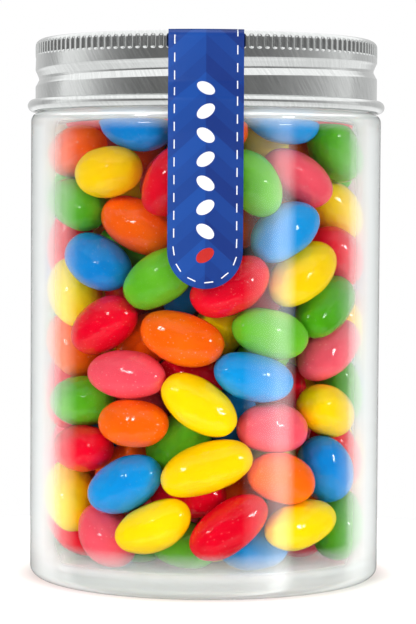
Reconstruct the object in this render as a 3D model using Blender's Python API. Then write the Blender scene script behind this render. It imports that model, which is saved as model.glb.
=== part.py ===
"""A clear screw-lid jar filled with jelly beans, with a blue seal strip over the lid.

Run with: blender --background --python part.py. Units are metres, +Z is up and the front faces -Y.
"""

from math import atan2, cos, pi, radians, sin, sqrt, tau

import bmesh
import bpy
import numpy as np

# Every size below is in millimetres, and MM turns a finished mesh into metres.
MM = 0.001
SIDES = 48  # facets round the jar and the lid
GAP = 0.3  # clearance between neighbouring solids

# Jar
JAR_RADIUS = 43.8
BORE_RADIUS = 41.0
HEEL_ROUND = 2.5
FLOOR_TOP = 3.6
FLOOR_ROUND = 3.0
SHOULDER_TOP = 115.9
SHOULDER_ROUND = 2.2
NECK_RADIUS = 40.8
NECK_BORE_RADIUS = 38.0
BORE_SHOULDER_FROM = 112.0
BORE_SHOULDER_TO = 115.0
RIM_TOP = 132.6
RIM_CHAMFER = 0.6

# Lid
LID_TOP = 134.0
LID_CEILING = 133.0
LID_RADIUS = 42.75
LID_BORE_RADIUS = 41.1
LID_EDGE_ROUND = 2.2
KNURL_TOP = 132.2
KNURL_BOTTOM = 130.1
KNURL_END = 129.6
KNURL_DEPTH = 0.45
TEETH = 144
BEAD_CENTRE_RADIUS = 43.25
BEAD_CENTRE_HEIGHT = 117.5
BEAD_RADIUS = 1.55

# Thread groove pressed into the lid, a right-handed helix given by its height at the front
GROOVE_HEIGHT = 125.2
GROOVE_PITCH = 4.8
GROOVE_DEPTH = 0.87
GROOVE_ABOVE = 2.3  # reach of the slope over the bottom of the groove
GROOVE_BELOW = 1.9
GROOVE_START = radians(-170)
GROOVE_END = radians(285)
GROOVE_FADE = radians(50)
GROOVE_BAND_TOP = 129.0
GROOVE_BAND_BOTTOM = 121.0
GROOVE_ROWS = 10

# Seal strip, the same down the front and the back
STRIP_HALF_WIDTH = 8.85
STRIP_THICKNESS = 0.3
STRIP_TIP = 73.5
STRIP_COLUMNS = 4

# Beans
BEAN_WIDTH = 12.2
BEAN_LENGTH = 19.8
BEAN_CLEARANCE = 0.4  # from the jar's inner wall and floor
HEAP_TOP = 121.0
MIDDLE_RADIUS = 15.0  # the middle of the heap holds no separate beans
MIDDLE_FROM = 36.0
MIDDLE_TO = 88.0
CORE_RADIUS = 31.0  # the solid that carries the beans that show
CORE_BOTTOM = 7.5
CORE_TOP = 112.5
CORE_SIDES = 20
BACK_BEANS = 52
INNER_BEANS = 68
BEAN_SIDES = 8
BEAN_RINGS = 4

# Beans against the front of the wall as the eye meets them: how far right of the axis, how high,
# the slope of the long axis in degrees (right end up), the length, and how far in from the wall.
FRONT_BEANS = [
    (-33, 106, 25, 19, 0),
    (-17, 110, -15, 20, 0),
    (-22, 101, 20, 18, 0),
    (-8, 99, 62, 18, 0),
    (-33, 93, -25, 19, 0),
    (-16, 88, -35, 20.5, 0),
    (-35, 83, 80, 18, 0),
    (-25, 79, -33, 20, 0),
    (-9, 76, 42, 19, 0),
    (4, 109, -12, 18, 1.5),
    (17, 111, -15, 20, 0),
    (34, 106, -58, 19, 0),
    (20, 100, -34, 20, -1),
    (10, 97, -55, 18, 0),
    (35, 93, -58, 19, 0),
    (18, 86, 38, 19, 0),
    (4, 86, 70, 18, 0),
    (35, 80, -50, 19, 0),
    (23, 76, 42, 21, 0),
    (6, 74, 32, 20, 0),
    (30, 68, 40, 20, 0),
    (13, 63, -15, 19.5, 0),
    (29, 58, 41, 20.5, 0),
    (10, 52, -20, 19.5, 0),
    (36, 48, -70, 18.5, 0),
    (29, 43, -40, 18, 0),
    (17, 40, -15, 18, 0),
    (31, 29, -60, 18, 0),
    (36, 32, -75, 18.5, 0),
    (18, 28, -30, 17.5, 0),
    (0, 31, 35, 22.5, 0),
    (-1, 45, -40, 19.5, 0),
    (22.5, 17.5, 22, 20.5, -1),
    (6, 18, 35, 21, 0),
    (12, 10, -10, 19, 6),
    (-4, 10, -35, 17.5, 5),
    (-17, 10, -5, 18, 8),
    (-12, 16, 29, 19.5, 0),
    (-19, 25, 30, 20.5, 0),
    (-16, 41, -5, 17.5, 0),
    (-17, 53, -12, 20, 0),
    (-5, 62, -20, 20, 0),
    (-23, 65, 42, 19.5, 0),
    (-35, 70, -65, 18.5, 0),
    (-35, 57, -60, 18.5, 0),
    (-31, 45, -4, 18.5, 0),
    (-30, 33, -5, 19.5, 0),
    (-35, 18, -65, 18.5, 0),
    (-33, 10, -42, 19, 0),
    (-23, 12, -60, 18, 6),
    (36, 17, 75, 18.5, 0),
    (29, 10, 38, 18.5, 7),
]
# Beans that show in the gaps between those, in the same terms.
SECOND_BEANS = [
    (-29, 112, 10, 18.5, 7),
    (29, 112, -20, 18.5, 6),
    (27, 103, -55, 18.5, 8),
    (26, 93, 20, 18.5, 9),
    (28, 87, -40, 18.5, 7),
    (-7, 35, 35, 18.5, 5),
    (-37, 36, 10, 18.5, 6),
    (-3, 53, 10, 18.5, 8),
    (-16, 62, 45, 18.5, 8),
    (19, 55, 60, 18.5, 9),
    (21, 47, 70, 18.5, 9),
    (-4, 19, 30, 18.5, 9),
    (-17, 33, 20, 18.5, 9),
]
FRONT_HALF_ANGLE = radians(78)

# Settling of the heap
SEED = 7
CONTACT_SHARE = 0.97  # of a bean's half width, because two sugar shells may press into each other a little
LEVER = 60.0  # square millimetres: how readily an off-centre push turns a bean
STEP = 0.45
ROUNDS = 700
RELEASE = 560  # round after which the beans are held only lightly in place
WALL_ROUNDS = 40  # last rounds, in which only the jar's inside still moves the beans
FRONT_HOLD = (0.4, 0.016, 0.4)  # a front bean may move in depth but keeps its place to the eye
SECOND_HOLD = (0.1, 0.1, 0.1)
OTHER_HOLD = (0.015, 0.015, 0.015)


def arc(radius, height, size, start, end, count):
    """Points of an arc about (radius, height), from start to end in degrees above the outward direction."""
    angles = np.radians(np.linspace(start, end, count))
    return [(radius + size * cos(a), height + size * sin(a)) for a in angles]


def ring(bm, radius, height, sides=SIDES):
    """A ring of points; radius is a number or a function of the angle from the front, and 0 makes a pole."""
    if radius == 0:
        return [bm.verts.new((0, 0, height))]
    points = []
    for i in range(sides):
        angle = tau * i / sides
        reach = radius(angle) if callable(radius) else radius
        points.append(bm.verts.new((reach * sin(angle), -reach * cos(angle), height)))
    return points


def bridge(bm, one, two):
    """Faces between two rings, where the finer has a whole multiple of the coarser's points."""
    if len(one) > len(two):
        one, two = two, one
    ratio = len(two) // len(one)
    middle = ratio // 2
    for i, corner in enumerate(one):
        after = one[(i + 1) % len(one)]
        fine = [two[(i * ratio + j) % len(two)] for j in range(ratio + 1)]
        if len(one) == 1:
            for a, b in zip(fine, fine[1:]):
                bm.faces.new((corner, a, b))
        elif ratio == 1:
            bm.faces.new((corner, after, fine[1], fine[0]))
        else:
            for a, b in zip(fine[:middle], fine[1 : middle + 1]):
                bm.faces.new((corner, a, b))
            bm.faces.new((corner, fine[middle], after))
            for a, b in zip(fine[middle:-1], fine[middle + 1 :]):
                bm.faces.new((after, a, b))


def turned(profile, sides=SIDES):
    """A closed turned body from (radius, height) points that start and end on the axis."""
    bm = bmesh.new()
    rings = [ring(bm, radius, height, sides) for radius, height in profile]
    for one, two in zip(rings, rings[1:]):
        bridge(bm, one, two)
    return bm


def material(name, colour, roughness, metallic=0.0, transmission=0.0):
    made = bpy.data.materials.new(name)
    made.use_nodes = True
    shader = made.node_tree.nodes["Principled BSDF"]
    shader.inputs["Base Color"].default_value = (*colour, 1)
    shader.inputs["Roughness"].default_value = roughness
    shader.inputs["Metallic"].default_value = metallic
    shader.inputs["Transmission Weight"].default_value = transmission
    return made


def finished(name, bm, finish, sharp=30):
    """The object made from a bmesh in millimetres, in metres and with its faces outward."""
    bmesh.ops.recalc_face_normals(bm, faces=bm.faces)
    bmesh.ops.scale(bm, vec=(MM, MM, MM), verts=bm.verts)
    mesh = bpy.data.meshes.new(name)
    bm.to_mesh(mesh)
    bm.free()
    mesh.shade_smooth()
    mesh.set_sharp_from_angle(angle=radians(sharp))
    mesh.materials.append(finish)
    made = bpy.data.objects.new(name, mesh)
    bpy.context.scene.collection.objects.link(made)
    return made


def make_jar():
    """Thick clear jar, open at the top, with a rounded heel and shoulder and a plain neck inside the lid."""
    heel = arc(JAR_RADIUS - HEEL_ROUND, HEEL_ROUND, HEEL_ROUND, -90, 0, 4)
    shoulder = arc(JAR_RADIUS - SHOULDER_ROUND, SHOULDER_TOP - SHOULDER_ROUND, SHOULDER_ROUND, 0, 90, 4)
    rim = [
        (NECK_RADIUS, SHOULDER_TOP),
        (NECK_RADIUS, RIM_TOP - RIM_CHAMFER),
        (NECK_RADIUS - RIM_CHAMFER, RIM_TOP),
        (NECK_BORE_RADIUS + RIM_CHAMFER, RIM_TOP),
        (NECK_BORE_RADIUS, RIM_TOP - RIM_CHAMFER),
    ]
    heights = (BORE_SHOULDER_TO, BORE_SHOULDER_TO - 1.0, BORE_SHOULDER_FROM)
    bore = [(float(bore_radius(z)), z) for z in heights]
    floor = arc(BORE_RADIUS - FLOOR_ROUND, FLOOR_TOP + FLOOR_ROUND, FLOOR_ROUND, 0, -90, 3)
    profile = [(0, 0), *heel, *shoulder, *rim, *bore, *floor, (0, FLOOR_TOP)]
    finish = material("clear_glass", (0.94, 0.97, 0.96), 0.02, transmission=1.0)
    return finished("jar", turned(profile), finish)


def groove_depth(angle, height):
    """Depth of the thread groove at an angle from the front, summed over the helix's turns."""
    depth = 0.0
    for turn in (-1, 0, 1):
        along = angle + tau * turn
        start = np.clip((along - GROOVE_START) / GROOVE_FADE, 0, 1)
        end = np.clip((GROOVE_END - along) / GROOVE_FADE, 0, 1)
        offset = height - GROOVE_HEIGHT - GROOVE_PITCH * along / tau
        reach = GROOVE_ABOVE if offset > 0 else GROOVE_BELOW
        shape = cos(min(abs(offset) / reach, 1) * pi / 2) ** 2
        depth += GROOVE_DEPTH * shape * float(start * end)
    return depth


def make_lid():
    """Pressed metal screw lid: knurled edge, helical thread groove and a rolled bead at the foot."""
    bm = bmesh.new()
    edge = arc(LID_RADIUS - LID_EDGE_ROUND, LID_TOP - LID_EDGE_ROUND, LID_EDGE_ROUND, 90, 20, 3)
    bead = arc(BEAD_CENTRE_RADIUS, BEAD_CENTRE_HEIGHT, BEAD_RADIUS, 105, -150, 6)
    inside = [
        (LID_BORE_RADIUS, BEAD_CENTRE_HEIGHT),
        (LID_BORE_RADIUS, LID_CEILING),
        (0, LID_CEILING),
    ]

    def tooth(angle):
        return LID_RADIUS - KNURL_DEPTH * (round(angle / tau * TEETH * 2) % 2)

    def grooved(height):
        return lambda angle: LID_RADIUS - groove_depth(angle, height)

    rings = [ring(bm, 0, LID_TOP)]
    rings += [ring(bm, radius, height) for radius, height in edge]
    rings += [ring(bm, tooth, height, TEETH * 2) for height in (KNURL_TOP, KNURL_BOTTOM)]
    rings += [ring(bm, LID_RADIUS, KNURL_END)]
    rings += [
        ring(bm, grooved(height), height)
        for height in np.linspace(GROOVE_BAND_TOP, GROOVE_BAND_BOTTOM, GROOVE_ROWS)
    ]
    rings += [ring(bm, radius, height) for radius, height in bead + inside]
    for one, two in zip(rings, rings[1:]):
        bridge(bm, one, two)
    return finished("lid", bm, material("brushed_aluminium", (0.62, 0.63, 0.62), 0.32, metallic=1.0))


def strip_path():
    """(radius, height, half width) along the strip's inner face, from its tip up to the middle of the lid."""
    wall = JAR_RADIUS + GAP
    skirt = LID_RADIUS + GAP
    tip_centre = STRIP_TIP + STRIP_HALF_WIDTH
    rows = [
        (wall, tip_centre - STRIP_HALF_WIDTH * cos(a), STRIP_HALF_WIDTH * sin(a))
        for a in np.radians((12, 34, 58, 90))
    ]
    over = [(wall, SHOULDER_TOP - SHOULDER_ROUND)]
    over += arc(BEAD_CENTRE_RADIUS, BEAD_CENTRE_HEIGHT, BEAD_RADIUS + GAP, -59, 66, 5)
    over += [(skirt, BEAD_CENTRE_HEIGHT + 3.2)]
    over += arc(LID_RADIUS - LID_EDGE_ROUND, LID_TOP - LID_EDGE_ROUND, LID_EDGE_ROUND + GAP, 0, 90, 4)
    over += [(0, LID_TOP + GAP)]
    return rows + [(radius, height, STRIP_HALF_WIDTH) for radius, height in over]


def make_seal_strip():
    """Thin label strip with round ends, up the front, over the lid and down the back."""
    path = np.array(strip_path())
    slope = np.gradient(path[:, :2], axis=0)
    slope /= np.linalg.norm(slope, axis=1)[:, None]
    outward = np.stack([slope[:, 1], -slope[:, 0]], axis=1)
    outward[-1] = (0, 1)
    flat_from = LID_RADIUS - LID_EDGE_ROUND
    across = np.linspace(-1, 1, STRIP_COLUMNS + 1)
    bm = bmesh.new()

    def row(index, side, lift):
        radius, height = path[index, :2] + outward[index] * lift
        points = []
        for share in across:
            x = share * path[index, 2]
            bend = max(radius, flat_from)
            y = side * sqrt(bend**2 - x**2) * radius / bend
            points.append(bm.verts.new((x, y, height)))
        return points

    def sheet(lift):
        front = [row(i, -1, lift) for i in range(len(path))]
        back = [row(i, 1, lift) for i in reversed(range(len(path) - 1))]
        return front + back

    under, top = sheet(0), sheet(STRIP_THICKNESS)
    for rows in (under, top):
        for one, two in zip(rows, rows[1:]):
            for a, b, c, d in zip(one, one[1:], two[1:], two):
                bm.faces.new((a, b, c, d))
    for column in (0, -1):
        for i in range(len(under) - 1):
            bm.faces.new((under[i][column], under[i + 1][column], top[i + 1][column], top[i][column]))
    for end in (0, -1):
        for j in range(STRIP_COLUMNS):
            bm.faces.new((under[end][j], under[end][j + 1], top[end][j + 1], top[end][j]))
    return finished("seal_strip", bm, material("blue_film_label", (0.02, 0.10, 0.36), 0.35))


def bore_radius(height):
    """Radius of the jar's inside at a height."""
    share = np.clip((height - BORE_SHOULDER_FROM) / (BORE_SHOULDER_TO - BORE_SHOULDER_FROM), 0, 1)
    return NECK_BORE_RADIUS + (BORE_RADIUS - NECK_BORE_RADIUS) * np.sqrt(1 - share**2)


def wall_pose(x, height, tilt, reach):
    """Centre and long axis of a bean that lies along the front wall at a radius."""
    x = float(np.clip(x, -0.985 * reach, 0.985 * reach))
    y = -sqrt(reach**2 - x**2)
    lean = min(max(-x / y, -1.0), 1.0)
    slope = radians(tilt)
    axis = np.array([cos(slope), lean * cos(slope), sin(slope)])
    return np.array([x, y, height]), axis / np.linalg.norm(axis)


def most_open(rng, taken, draw, tries=60):
    """Of several drawn points, the one that lies farthest from those taken."""
    points = np.array([draw(rng) for _ in range(tries)])
    nearest = np.linalg.norm(points[:, None] - np.array(taken)[None], axis=2).min(axis=1)
    return points[nearest.argmax()]


def draw_back(rng):
    """A point of the outer layer, round the sides and the back."""
    angle = rng.uniform(FRONT_HALF_ANGLE, tau - FRONT_HALF_ANGLE)
    reach = BORE_RADIUS - BEAN_CLEARANCE - BEAN_WIDTH / 2
    return (reach * sin(angle), -reach * cos(angle), rng.uniform(10, 114))


def draw_inner(rng):
    """A point inside the outer layer, clear of the middle of the heap."""
    while True:
        angle = rng.uniform(0, tau)
        reach = 26 * sqrt(rng.uniform(0, 1))
        height = rng.uniform(10, 116)
        off = np.hypot(reach, height - np.clip(height, MIDDLE_FROM, MIDDLE_TO))
        if off > MIDDLE_RADIUS + BEAN_WIDTH / 3:
            return (reach * sin(angle), -reach * cos(angle), height)


def first_places(rng):
    """Centres, axes, lengths and widths of all beans before they settle."""
    centres, axes, lengths, widths = [], [], [], []
    for x, height, tilt, length, inward in FRONT_BEANS + SECOND_BEANS:
        width = BEAN_WIDTH * rng.uniform(0.95, 1.05)
        reach = BORE_RADIUS - BEAN_CLEARANCE - width / 2 - inward
        centre, axis = wall_pose(x, height, tilt, reach)
        centres.append(centre)
        axes.append(axis)
        lengths.append(length)
        widths.append(width)
    for draw, count in ((draw_back, BACK_BEANS), (draw_inner, INNER_BEANS)):
        for _ in range(count):
            point = most_open(rng, centres, draw)
            angle = atan2(point[0], -point[1])
            turn = rng.uniform(-pi / 2, pi / 2)
            centres.append(point)
            axes.append(np.array([cos(turn) * cos(angle), cos(turn) * sin(angle), sin(turn)]))
            lengths.append(BEAN_LENGTH * rng.uniform(0.92, 1.08))
            widths.append(BEAN_WIDTH * rng.uniform(0.95, 1.05))
    return tuple(np.array(values) for values in (centres, axes, lengths, widths))


def push_apart(centre, axis, half, radius, pairs):
    """Shift and turn that part overlapping beans, taken as capsules."""
    i, j = pairs
    between = centre[i] - centre[j]
    cross = np.einsum("ij,ij->i", axis[i], axis[j])
    along_i = np.einsum("ij,ij->i", axis[i], between)
    along_j = np.einsum("ij,ij->i", axis[j], between)
    s = np.clip((cross * along_j - along_i) / np.maximum(1 - cross**2, 1e-3), -half[i], half[i])
    t = np.clip(cross * s + along_j, -half[j], half[j])
    s = np.clip(cross * t - along_i, -half[i], half[i])
    apart = between + s[:, None] * axis[i] - t[:, None] * axis[j]
    distance = np.maximum(np.linalg.norm(apart, axis=1), 1e-6)
    overlap = np.maximum(radius[i] + radius[j] - distance, 0)
    way = apart * (overlap / distance / 2)[:, None]
    shift, turn = np.zeros_like(centre), np.zeros_like(axis)
    np.add.at(shift, i, way)
    np.add.at(shift, j, -way)
    np.add.at(turn, i, way * (s / LEVER)[:, None])
    np.add.at(turn, j, -way * (t / LEVER)[:, None])
    return shift, turn


def push_inside(centre, axis, half, radius):
    """Shift and turn that bring beans back from the jar's wall, its floor, the heap's top and its middle."""
    shift, turn = np.zeros_like(centre), np.zeros_like(axis)
    for side in (-1, 1):
        end = centre + side * half[:, None] * axis
        out = np.hypot(end[:, 0], end[:, 1])
        excess = np.maximum(out - bore_radius(end[:, 2] + radius * 0.8) + BEAN_CLEARANCE + radius, 0)
        way = -end * (excess / out)[:, None]
        way[:, 2] = np.maximum(FLOOR_TOP + BEAN_CLEARANCE + radius - end[:, 2], 0)
        way[:, 2] -= np.maximum(end[:, 2] + radius - HEAP_TOP, 0)
        shift += way
        turn += side * way * (half / LEVER)[:, None]
    from_middle = centre.copy()
    from_middle[:, 2] -= np.clip(centre[:, 2], MIDDLE_FROM, MIDDLE_TO)
    off = np.maximum(np.linalg.norm(from_middle, axis=1), 1e-6)
    shift += from_middle * (np.maximum(MIDDLE_RADIUS + radius - off, 0) / off)[:, None]
    return shift, turn


def settled_beans():
    """Centres, axes, lengths and widths of all beans, moved until they lie clear of each other."""
    home, home_axis, length, width = first_places(np.random.default_rng(SEED))
    radius = width / 2 * CONTACT_SHARE
    half = length / 2 - radius
    others = len(home) - len(FRONT_BEANS) - len(SECOND_BEANS)
    hold = np.array(
        [FRONT_HOLD] * len(FRONT_BEANS) + [SECOND_HOLD] * len(SECOND_BEANS) + [OTHER_HOLD] * others
    )
    centre, axis = home.copy(), home_axis.copy()
    first, second = np.triu_indices(len(home), 1)
    reach = (half + radius)[first] + (half + radius)[second] + 3
    for count in range(ROUNDS):
        if count % 8 == 0:
            close = np.linalg.norm(centre[first] - centre[second], axis=1) < reach
            pairs = first[close], second[close]
        shift, turn = push_apart(centre, axis, half, radius, pairs)
        more_shift, more_turn = push_inside(centre, axis, half, width / 2)
        grip = hold * (1.0 if count < RELEASE else 0.1)
        if count < ROUNDS - WALL_ROUNDS:
            more_shift += shift + (home - centre) * grip
            more_turn += turn + (home_axis - axis) * grip.max(axis=1)[:, None]
        centre += STEP * more_shift
        axis += STEP * more_turn
        axis /= np.linalg.norm(axis, axis=1)[:, None]
    return centre, axis, length, width


def shows(centre, width):
    """Whether a bean reaches out of the heap's core."""
    out = np.hypot(centre[0], centre[1]) + width / 2
    return out > CORE_RADIUS + 1 or centre[2] > CORE_TOP - 4 or centre[2] < CORE_BOTTOM + 4


def make_bean(centre, axis, length, width):
    """One plump oval with few sides, its long axis along the given one."""
    angles = np.linspace(-pi / 2, pi / 2, BEAN_RINGS + 1)
    profile = [(width / 2 * cos(a) ** 0.8, length / 2 * sin(a)) for a in angles[1:-1]]
    bm = turned([(0, -length / 2), *profile, (0, length / 2)], BEAN_SIDES)
    side = np.cross(axis, (0, 0, 1) if abs(axis[2]) < 0.9 else (1, 0, 0))
    side /= np.linalg.norm(side)
    frame = np.stack([side, np.cross(axis, side), axis], axis=1)
    for vert in bm.verts:
        vert.co = frame @ np.array(vert.co) + centre
    return bm


def make_jelly_beans():
    """The heap as one body: a core with the beans that show fused on."""
    finish = material("glossy_sugar_shell", (0.78, 0.10, 0.02), 0.25)
    edge = 3.0
    core_profile = [
        (0, CORE_BOTTOM),
        (CORE_RADIUS - edge, CORE_BOTTOM),
        (CORE_RADIUS, CORE_BOTTOM + edge),
        (CORE_RADIUS, CORE_TOP - edge),
        (CORE_RADIUS - edge, CORE_TOP),
        (0, CORE_TOP),
    ]
    heap = finished("jelly_beans", turned(core_profile, CORE_SIDES), finish)
    pieces = bpy.data.collections.new("loose_beans")
    bpy.context.scene.collection.children.link(pieces)
    for centre, axis, length, width in zip(*settled_beans()):
        if shows(centre, width):
            bean = finished("bean", make_bean(centre, axis, length, width), finish)
            bpy.context.scene.collection.objects.unlink(bean)
            pieces.objects.link(bean)
    union = heap.modifiers.new("fuse", "BOOLEAN")
    union.operation = "UNION"
    union.operand_type = "COLLECTION"
    union.collection = pieces
    union.solver = "EXACT"
    fused = bpy.data.meshes.new_from_object(heap.evaluated_get(bpy.context.evaluated_depsgraph_get()))
    heap.modifiers.remove(union)
    heap.data = fused
    fused.name = "jelly_beans"
    for bean in list(pieces.objects):
        bpy.data.objects.remove(bean, do_unlink=True)
    bpy.data.collections.remove(pieces)
    return heap


for old in list(bpy.data.objects):
    bpy.data.objects.remove(old, do_unlink=True)
make_jar()
make_lid()
make_seal_strip()
make_jelly_beans()
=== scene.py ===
"""Looks of a jar of jelly beans: clear jar, brushed aluminium lid, blue seal strip and glossy sweets."""

from math import atan2, cos, pi, radians, sin, sqrt, tau

import bmesh
import bpy
import numpy as np
from mathutils import Matrix, Vector


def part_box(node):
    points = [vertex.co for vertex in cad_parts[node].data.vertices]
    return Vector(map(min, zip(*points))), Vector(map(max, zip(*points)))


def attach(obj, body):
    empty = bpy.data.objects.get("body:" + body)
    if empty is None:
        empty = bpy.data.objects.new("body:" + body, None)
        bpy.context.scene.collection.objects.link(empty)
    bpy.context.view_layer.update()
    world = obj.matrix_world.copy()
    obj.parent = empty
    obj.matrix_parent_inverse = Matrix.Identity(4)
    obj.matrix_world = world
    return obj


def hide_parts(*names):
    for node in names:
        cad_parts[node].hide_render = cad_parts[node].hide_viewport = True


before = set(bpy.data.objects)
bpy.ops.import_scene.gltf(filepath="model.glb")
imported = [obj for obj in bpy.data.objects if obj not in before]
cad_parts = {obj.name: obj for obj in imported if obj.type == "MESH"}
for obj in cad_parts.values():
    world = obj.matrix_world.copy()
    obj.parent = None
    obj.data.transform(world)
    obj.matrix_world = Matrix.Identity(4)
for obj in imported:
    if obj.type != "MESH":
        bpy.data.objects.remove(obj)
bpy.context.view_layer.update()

MM = 0.001  # sizes are in millimetres until a mesh is finished

# Jar, as in the solids
JAR_RADIUS = 43.8
BORE_RADIUS = 41.0
HEEL_ROUND = 2.5
FLOOR_TOP = 3.6
FLOOR_ROUND = 3.0
SHOULDER_TOP = 115.9
SHOULDER_ROUND = 2.2
NECK_RADIUS = 40.8
NECK_BORE_RADIUS = 38.0
BORE_SHOULDER_FROM = 112.0
BORE_SHOULDER_TO = 115.0
RIM_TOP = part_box("jar")[1][2] / MM
RIM_ROUND = 0.6
JAR_SIDES = 288
FOOT_RINGS = (12, 24, 34)
FLOOR_RINGS = (30, 18)
WALL_LOW, WALL_HIGH, WALL_RINGS = 10, 104, 10

# Lid, as in the solids apart from its flute count, the round of its top edge and a slightly slimmer bead
LID_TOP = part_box("lid")[1][2] / MM
LID_CEILING = LID_TOP - 1.0
LID_RADIUS = 42.75
LID_BORE_RADIUS = 41.1
LID_EDGE_ROUND = 1.8
LID_SIDES = 276
LID_TOP_RINGS = (10, 20, 30, 38)
SKIRT_HIGH, SKIRT_LOW, SKIRT_RINGS = 129.5, 119.4, 60
BEAD_CENTRE_RADIUS = 43.14
BEAD_CENTRE_HEIGHT = 117.5
BEAD_RADIUS = 1.54
BEAD_FROM, BEAD_TO = 105, -150  # degrees above the outward direction
TEETH = 138
TOOTH_POINTS = 12
KNURL_DEPTH = 0.5
FLUTE_HALF_SHARE = 0.36  # half a flute's width as a share of the pitch
FLUTE_FOOT = 130.25
FLUTE_HEAD = 132.6
FLUTE_END_ROUND = 0.6
FLUTE_STEEPNESS = 1.1
FLUTE_RINGS = (131.2, 130.7, 130.3, 130.15, 130.0, 129.9, 129.8, 129.7, 129.6)
GROOVE_HEIGHT = 125.2
GROOVE_PITCH = 4.8
GROOVE_DEPTH = 0.87
GROOVE_ABOVE = 2.3
GROOVE_BELOW = 1.9
GROOVE_FLAT = 0.25  # half the width of its flat bottom
GROOVE_BEND = 1.15
GROOVE_LIP = 2.2
GROOVE_START = radians(-170)
GROOVE_END = radians(285)
GROOVE_FADE = radians(50)

# Seal strip
STRIP_HALF_WIDTH = 8.85
STRIP_TIP = 73.5
STRIP_REST = 0.06  # the film's under side above what it lies on
STRIP_THICKNESS = 0.14
STITCH_INSET = 1.5
STITCH_PITCH = 4.15
STITCH_SIZE = (2.1, 0.26)
PRINT_THICKNESS = 0.03
STRIP_STEP = 0.6
STRIP_OFF_LID = 4.4  # above the bead's centre, where the strip leaves the lid's side
STRIP_ON_JAR = 110.0  # height where it comes to lie on the jar's wall
CHEVRON_PITCH = 13.0
CHEVRON_SLOPE = 0.9
CHEVRON_BANDS = 3
FIRST_OVAL = 56.0  # from the middle of the lid's top, along the strip
OVAL_PITCH = 5.6
OVAL_SIZE = (4.7, 2.9)
OVAL_TURNS = (145, 35)

# Sweets
BEAN_WIDTH = 12.2
BEAN_LENGTH = 19.8
BEAN_CLEARANCE = 0.4
HEAP_TOP = 121.0
MIDDLE_RADIUS = 15.0
MIDDLE_FROM = 36.0
MIDDLE_TO = 88.0
BACK_BEANS = 52
BACK_HEIGHTS = (10, 114)
INNER_BEANS = 68
INNER_RADIUS = 26
INNER_HEIGHTS = (10, 116)
WIDTH_SPREAD = (0.95, 1.05)
LENGTH_SPREAD = (0.92, 1.08)
TOO_NEAR = 18  # nearer sweets than this aren't of one colour
LUMPS_PER_METRE = 95.0

# Sweets against the front of the wall as the eye meets them: colour, how far right of the axis, how high,
# the slope of the long axis in degrees (right end up), the length, and how far in from the wall.
FRONT_BEANS = [
    ("orange", -33, 106, 25, 19, 0),
    ("blue", -17, 110, -15, 20, 0),
    ("yellow", -22, 101, 20, 18, 0),
    ("red", -8, 99, 62, 18, 0),
    ("green", -33, 93, -25, 19, 0),
    ("orange", -16, 88, -35, 20.5, 0),
    ("red", -35, 83, 80, 18, 0),
    ("blue", -25, 79, -33, 20, 0),
    ("green", -9, 76, 42, 19, 0),
    ("orange", 4, 109, -12, 18, 1.5),
    ("blue", 17, 111, -15, 20, 0),
    ("green", 34, 106, -58, 19, 0),
    ("pink", 20, 100, -34, 20, -1),
    ("green", 10, 97, -55, 18, 0),
    ("yellow", 35, 93, -58, 19, 0),
    ("blue", 18, 86, 38, 19, 0),
    ("yellow", 4, 86, 70, 18, 0),
    ("red", 35, 80, -50, 19, 0),
    ("yellow", 23, 76, 42, 21, 0),
    ("red", 6, 74, 32, 20, 0),
    ("green", 30, 68, 40, 20, 0),
    ("green", 13, 63, -15, 19.5, 0),
    ("pink", 29, 58, 41, 20.5, 0),
    ("blue", 10, 52, -20, 19.5, 0),
    ("green", 36, 48, -70, 18.5, 0),
    ("yellow", 29, 43, -40, 18, 0),
    ("pink", 17, 40, -15, 18, 0),
    ("blue", 31, 29, -60, 18, 0),
    ("red", 36, 32, -75, 18.5, 0),
    ("orange", 18, 28, -30, 17.5, 0),
    ("yellow", 0, 31, 35, 22.5, 0),
    ("yellow", -1, 45, -40, 19.5, 0),
    ("yellow", 22.5, 17.5, 22, 20.5, -1),
    ("red", 6, 18, 35, 21, 0),
    ("blue", 12, 10, -10, 19, 6),
    ("green", -4, 10, -35, 17.5, 5),
    ("green", -17, 10, -5, 18, 8),
    ("yellow", -12, 16, 29, 19.5, 0),
    ("blue", -19, 25, 30, 20.5, 0),
    ("orange", -16, 41, -5, 17.5, 0),
    ("pink", -17, 53, -12, 20, 0),
    ("orange", -5, 62, -20, 20, 0),
    ("red", -23, 65, 42, 19.5, 0),
    ("yellow", -35, 70, -65, 18.5, 0),
    ("orange", -35, 57, -60, 18.5, 0),
    ("green", -31, 45, -4, 18.5, 0),
    ("red", -30, 33, -5, 19.5, 0),
    ("yellow", -35, 18, -65, 18.5, 0),
    ("red", -33, 10, -42, 19, 0),
    ("pink", -23, 12, -60, 18, 6),
    ("green", 36, 17, 75, 18.5, 0),
    ("pink", 29, 10, 38, 18.5, 7),
]
# Sweets that show in the gaps between those, in the same terms.
SECOND_BEANS = [
    ("red", -29, 112, 10, 18.5, 7),
    ("red", 29, 112, -20, 18.5, 6),
    ("orange", 27, 103, -55, 18.5, 8),
    ("green", 26, 93, 20, 18.5, 9),
    ("red", 28, 87, -40, 18.5, 7),
    ("green", -7, 35, 35, 18.5, 5),
    ("blue", -37, 36, 10, 18.5, 6),
    ("red", -3, 53, 10, 18.5, 8),
    ("orange", -16, 62, 45, 18.5, 8),
    ("green", 19, 55, 60, 18.5, 9),
    ("red", 21, 47, 70, 18.5, 9),
    ("red", -4, 19, 30, 18.5, 9),
    ("orange", -17, 33, 20, 18.5, 9),
]
FRONT_HALF_ANGLE = radians(78)

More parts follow.
